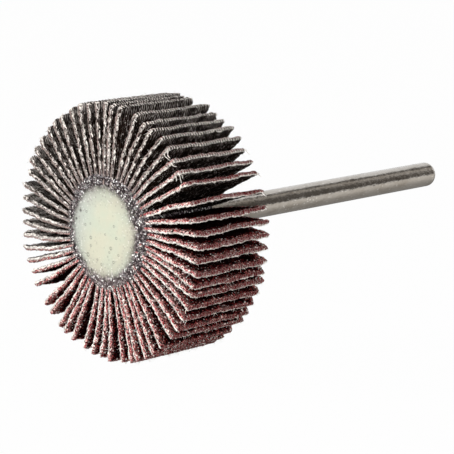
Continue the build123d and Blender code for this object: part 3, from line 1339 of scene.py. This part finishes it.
@dataclass
class ResinFace:
    """The casting's skin on the wheel's face: a low dome with bubbles, soaked out between the roots."""

    reach: float = 7.2
    rings: int = 130
    spokes: int = 300
    skirt: int = 4
    crown_height: float = 11.57
    back_height: float = 10.75
    soak_fall: float = 0.60
    dome_fall: float = 0.06
    rim_rise: float = 0.03
    lumps: int = 26
    lump_sizes: Pair = (0.35, 1.4)
    lump_height: float = 0.012
    bubble_lip: float = 0.016
    pits: tuple[Triple, ...] = (
        # x, z, radius: burst bubbles, which look dark
        (-4.07, 2.1, 0.21), (-4.79, 1.07, 0.17), (-3.5, -3.79, 0.16), (-2.3, -4.55, 0.18),
        (4.3, 3.1, 0.12),
    )
    bubbles: tuple[Triple, ...] = (
        # x, z, radius: bubbles under the skin, which look like faint rings
        (-3.03, 2.12, 0.15), (-2.37, 0.81, 0.12), (-3.24, 0.58, 0.15), (1.64, 1.01, 0.14),
        (0.18, -0.11, 0.12), (-2.31, -0.81, 0.19), (2.03, -0.31, 0.16), (-2.33, -1.74, 0.15),
        (0.83, -2.1, 0.13), (-2.86, -2.87, 0.24), (2.34, -2.22, 0.14), (-1.24, -3.22, 0.13),
        (1.48, -3.16, 0.17), (-0.56, -3.7, 0.15), (1.1, -1.6, 0.19),
    )
    small_bubbles: int = 70

    def surface(self, x: Array, z: Array) -> tuple[Array, Array]:
        """Gives the skin's height and how dark a bubble makes it.

        Args:
            x: places across the face.
            z: places up the face.

        Returns:
            The height in front of the back plane, and the bubbles' shade from 0 to 1.
        """
        chance = random.Random(5)
        out, turn = np.hypot(x, z), np.arctan2(z, x)
        rim = 0.5 * np.sin(3 * turn + 1.0) + 0.3 * np.sin(7 * turn + 0.4) + 0.2 * np.sin(13 * turn + 2.0)
        height = self.crown_height - self.dome_fall * (out / 5.0) ** 2
        height = height + self.rim_rise * smooth_step(out, 5.0 + 0.25 * rim, 5.6 + 0.25 * rim)
        soaked_reach = 6.25 + 0.35 * rim + 0.25 * (np.sin(turn) + np.cos(turn))
        height = height - self.soak_fall * smooth_step(out, soaked_reach, 7.25)

        lumps = np.zeros_like(out)
        for _ in range(self.lumps):
            size, way = chance.uniform(*self.lump_sizes), chance.uniform(0, TURN)
            onward = x * math.cos(way) + z * math.sin(way)
            lumps += size * np.sin(TURN / size * onward + chance.uniform(0, 6.3))
        height = height + self.lump_height * lumps * smooth_step(out, 4.6, 5.6)

        small = []
        for _ in range(self.small_bubbles):
            radius, way = 5.1 * chance.random() ** 0.5, chance.uniform(0, TURN)
            small.append((radius * math.cos(way), radius * math.sin(way), chance.uniform(0.05, 0.10)))
        shade = np.zeros_like(out)
        for listed, depth, tint, ring in (
            (self.pits, 0.10, 1.0, 0.60), (self.bubbles, 0.02, 0.0, 0.85), (small, 0.015, 0.0, 0.38),
        ):
            for at_x, at_z, radius in listed:
                far = np.hypot(x - at_x, z - at_z) / radius
                height = height - depth * np.clip(1 - far ** 2, 0, None) ** 2
                height = height + self.bubble_lip * np.exp(-((far - 1.05) / 0.25) ** 2)
                shade = np.maximum(shade, tint * np.clip(1.15 - far ** 2, 0, 1))
                shade = np.maximum(shade, ring * np.exp(-((far - 0.85) / 0.22) ** 2))
        return height, shade

    def build(self, finish: Material) -> None:
        """Models the skin from a grid wound round the axis, closed at its middle and behind.

        Args:
            finish: the resin's material.
        """
        deselect_all()
        bpy.ops.mesh.primitive_grid_add(x_subdivisions=self.rings, y_subdivisions=self.spokes, size=1.0)
        piece = name_new("resin_face")
        flat = points_of(piece.data)
        turn = (flat[:, 1] + 0.5) * TURN
        ring = np.rint((flat[:, 0] + 0.5) * self.rings).astype(int)
        face_rings = self.rings - self.skirt
        out = self.reach * np.clip(ring / face_rings, 0, 1)
        for behind, radius in enumerate((self.reach - 0.02, self.reach - 0.3, 3.0, 0.0), start=1):
            out = np.where(ring == face_rings + behind, radius, out)
        x, z = out * np.cos(turn), out * np.sin(turn)
        height, shade = self.surface(x, z)
        height = np.where(ring > face_rings, self.back_height, height)
        move_points(piece.data, np.stack([x, -height, z], axis=1))
        keep_values(piece.data, "bubble", np.where(ring > face_rings, 0.0, shade))
        edit_all()
        bpy.ops.mesh.remove_doubles(threshold=0.001 * MM)
        close_edit()
        bpy.ops.object.shade_smooth()
        dress(piece, "resin", finish)
        LOG.info("the resin's skin has %d faces", len(piece.data.polygons))


@dataclass
class ShankRod:
    """Plain steel rod with a rounded far end and a turned-down tang inside the resin."""

    radius: float = 3.175 / 2
    reach: float = 46.7
    end_radius: float = 1.0
    tang_step: float = 0.2
    tang_length: float = 9.5
    segments: int = 96

    def build(self, finish: Material) -> None:
        """Models the rod from a cylinder: the far end rounded, the near end drawn out to the tang.

        Args:
            finish: the steel.
        """
        deselect_all()
        bpy.ops.mesh.primitive_cylinder_add(
            vertices=self.segments, radius=self.radius * MM, depth=self.reach * MM,
            location=(0, self.reach / 2 * MM, 0), rotation=(math.radians(-90), 0, 0),
        )
        piece = name_new("shank_rod")
        bpy.ops.object.transform_apply(location=True, rotation=True, scale=True)
        self._select_end(piece, self.reach * MM)
        bpy.ops.mesh.bevel(offset=self.end_radius * MM, segments=14, affect="EDGES")
        bpy.ops.object.mode_set(mode="OBJECT")
        self._select_end(piece, 0.0)
        bpy.ops.mesh.inset(thickness=self.tang_step * MM)
        bpy.ops.mesh.extrude_region_move(TRANSFORM_OT_translate={"value": (0, -self.tang_length * MM, 0)})
        close_edit()
        bpy.ops.object.shade_smooth_by_angle(angle=math.radians(35))
        dress(piece, "steel", finish)
        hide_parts("shank")
        LOG.info("the shank has %d faces", len(piece.data.polygons))

    @staticmethod
    def _select_end(piece: Piece, y: float) -> None:
        """Selects the flat end at a place along the rod, in edit mode.

        Args:
            piece: the rod.
            y: the end's place, in metres.
        """
        bpy.ops.object.mode_set(mode="EDIT")
        bpy.ops.mesh.select_all(action="DESELECT")
        bpy.ops.object.mode_set(mode="OBJECT")
        for face in piece.data.polygons:
            face.select = abs(face.center.y - y) < 1e-6 and abs(face.normal.y) > 0.9
        bpy.ops.object.mode_set(mode="EDIT")
        bpy.ops.mesh.select_mode(type="FACE")


@dataclass
class Studio:
    """Pale floor, soft light and the camera at the photograph's viewing angle."""

    floor_height: float = -15.9
    floor_radius: float = 1600.0
    floor_white: float = 0.985
    sky_light: float = 0.10
    paper: Colour = (0.50, 0.47, 0.44)
    # painted shadow that the steel mirrors in the floor, darkest near the wheel: places from 20 mm left of
    # the axis to 80 mm right of it, and their greys
    floor_shadow_greys: tuple[Pair, ...] = ((0.0, 0.26), (0.20, 0.36), (0.30, 0.50), (0.46, 0.82), (0.70, 0.90))
    wall_radius: float = 1000.0
    wall_foot: float = 25.0
    wall_top: float = 1150.0
    # tones the wall glows in, seen only in the steel as painted reflections
    cloth: Colour = (0.13, 0.12, 0.11)
    drape: Colour = (0.60, 0.57, 0.53)
    # name, place, size, power
    lamps: tuple[tuple[str, Triple, float, float], ...] = (
        ("overhead_lamp", (60, 60, 420), 340, 0.45),
        ("front_lamp", (230, -340, 70), 110, 1.35),
        ("left_lamp", (-330, -300, 190), 110, 1.80),
    )
    camera_place: Triple = (160.95, -154.2, 42.4)
    camera_target: Triple = (9.75, -1.65, 0.69)
    lens: float = 153.2
    sensor: float = 36.0

    def build(self) -> None:
        """Builds the floor, the wall, the world, the lamps and the camera."""
        self._floor()
        self._dark_wall()
        self._world()
        self._lamps()
        self._camera()

    @staticmethod
    def _set_piece(name: str, material_name: str) -> tuple[Piece, Wiring]:
        """Puts the primitive that was added last on the stage.

        Args:
            name: its name.
            material_name: its material's name.

        Returns:
            The piece, and the wiring of its material.
        """
        piece = name_new(name)
        bpy.ops.object.transform_apply(location=True, rotation=True, scale=True)
        material = bpy.data.materials.new(material_name)
        piece.data.materials.append(material)
        return piece, Wiring.of(material)

    def _floor(self) -> None:
        """Adds the floor: white to the camera, with the wheel's soft shadow left in it."""
        deselect_all()
        bpy.ops.mesh.primitive_circle_add(
            vertices=96, radius=self.floor_radius * MM, fill_type="NGON",
            location=(0, 0, self.floor_height * MM),
        )
        _, wiring = self._set_piece("studio_floor", "pale_floor")
        paper = wiring.value("ShaderNodeBsdfDiffuse", {"Color": self.paper})
        glow = wiring.value("ShaderNodeEmission", {"Color": WHITE, "Strength": 1.0})
        path = wiring.values("ShaderNodeLightPath")
        seen = wiring.most(path["Is Camera Ray"] * self.floor_white, path["Is Transmission Ray"])
        surface = wiring.value("ShaderNodeMixShader", {0: seen, 1: paper, 2: glow})

        # painted shadow: to glossy rays the floor glows in a ramp of greys, darker near the wheel
        rightward, _, _ = wiring.object_mm().parts()
        along = (rightward + 20.0) / 100.0
        stops = tuple((place, (grey, grey * 0.97, grey * 0.92)) for place, grey in self.floor_shadow_greys)
        mirrored_floor_shadow = wiring.value("ShaderNodeEmission", {"Color": wiring.ramp(along, stops), "Strength": 1.0})
        surface = wiring.value("ShaderNodeMixShader", {0: path["Is Glossy Ray"], 1: surface, 2: mirrored_floor_shadow})
        wiring.node("ShaderNodeOutputMaterial", {"Surface": surface})

    def _dark_wall(self) -> None:
        """Stands a ring far round the set that glows in dark and pale bands, which only polished metal
        mirrors: painted reflections of a dark room and a pale drape.
        """
        deselect_all()
        bpy.ops.mesh.primitive_cylinder_add(
            vertices=96, radius=self.wall_radius * MM, depth=(self.wall_top - self.wall_foot) * MM,
            location=(0, 0, (self.wall_top + self.wall_foot) / 2 * MM), end_fill_type="NOTHING",
        )
        wall, wiring = self._set_piece("studio_dark_wall", "painted_reflection_wall")
        wall.visible_camera = wall.visible_diffuse = wall.visible_shadow = False
        rightward, backward, upward = wiring.object_mm().parts()
        turn = wiring.maths("ARCTAN2", backward, rightward) / math.pi
        tone = wiring.ramp(turn, (
            (0.0, self.cloth), (0.345, self.cloth), (0.375, self.drape), (0.425, self.drape),
            (0.46, self.cloth), (0.525, self.cloth), (0.56, WHITE),
        ))
        # painted reflection: a white patch low down behind the wheel
        low_behind = turn.span(0.36, 0.43) * upward.span(520.0, 400.0)
        tone = wiring.mix(low_behind, tone, WHITE)
        dim = wiring.value("ShaderNodeEmission", {"Color": tone, "Strength": 1.0})
        wiring.node("ShaderNodeOutputMaterial", {"Surface": dim})

    def _world(self) -> None:
        """Makes the world white to the camera and a soft grey light to everything else."""
        world = bpy.data.worlds.new("studio")
        bpy.context.scene.world = world
        wiring = Wiring.of(world)
        path = wiring.values("ShaderNodeLightPath")
        seen = wiring.most(path["Is Camera Ray"], path["Is Glossy Ray"], path["Is Transmission Ray"])
        inputs = {"Color": WHITE, "Strength": seen.fade((self.sky_light, 1.0))}
        sky = wiring.value("ShaderNodeBackground", inputs)
        wiring.node("ShaderNodeOutputWorld", {"Surface": sky})

    def _aim(self, piece: Piece, place: Triple) -> None:
        """Puts a lamp or a camera at a place, looking at the wheel.

        Args:
            piece: the lamp or camera.
            place: where it stands.
        """
        ahead = Vector(self.camera_target) - Vector(place)
        piece.location = Vector(place) * MM
        piece.rotation_mode = "QUATERNION"
        piece.rotation_quaternion = ahead.to_track_quat("-Z", "Y")

    def _lamps(self) -> None:
        """Hangs a broad lamp overhead, and one in front on either side of the camera."""
        for name, place, size, power in self.lamps:
            light = bpy.data.lights.new(name, "AREA")
            light.shape = "SQUARE"
            light.size = size * MM
            light.energy = power
            self._aim(link_new(name, light), place)

    def _camera(self) -> None:
        """Sets the camera where the photograph was taken from."""
        data = bpy.data.cameras.new("photo_camera")
        data.lens = self.lens
        data.sensor_width = self.sensor
        data.clip_start = 0.01
        data.clip_end = 10.0
        camera = link_new("photo_camera", data)
        self._aim(camera, self.camera_place)
        bpy.context.scene.camera = camera


def main() -> None:
    """Builds the wheel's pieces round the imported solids, and the studio."""
    logging.basicConfig(level=logging.INFO, format="%(name)s: %(message)s")
    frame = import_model()
    effects = Effects()
    fibre = ThreadFibre().material(effects)
    loose_fibre = ThreadFibre(name="loose_fibre", dusty=(0.560, 0.510, 0.460)).material(effects)
    resin = CastResin().material(effects)
    flap_finishes = tuple(finish().material(effects) for finish in (GritCoat, ClothBack, CutEdge))

    ring = FlapRing()
    places = ring.places()
    ring.build(places, flap_finishes)
    fraying = Fraying()
    fraying.build_ends(places, fibre)
    fraying.build_hairs(places, fibre)
    fraying.build_threads(places, loose_fibre)
    ResinFace().build(resin)
    ShankRod().build(GroundSteel().material(effects))
    core = frame["nodes"]["resin_core"]
    core.data.materials.clear()
    core.data.materials.append(resin)
    Studio().build()
    bpy.context.scene.view_settings.view_transform = "Standard"


if __name__ == "__main__":
    main()
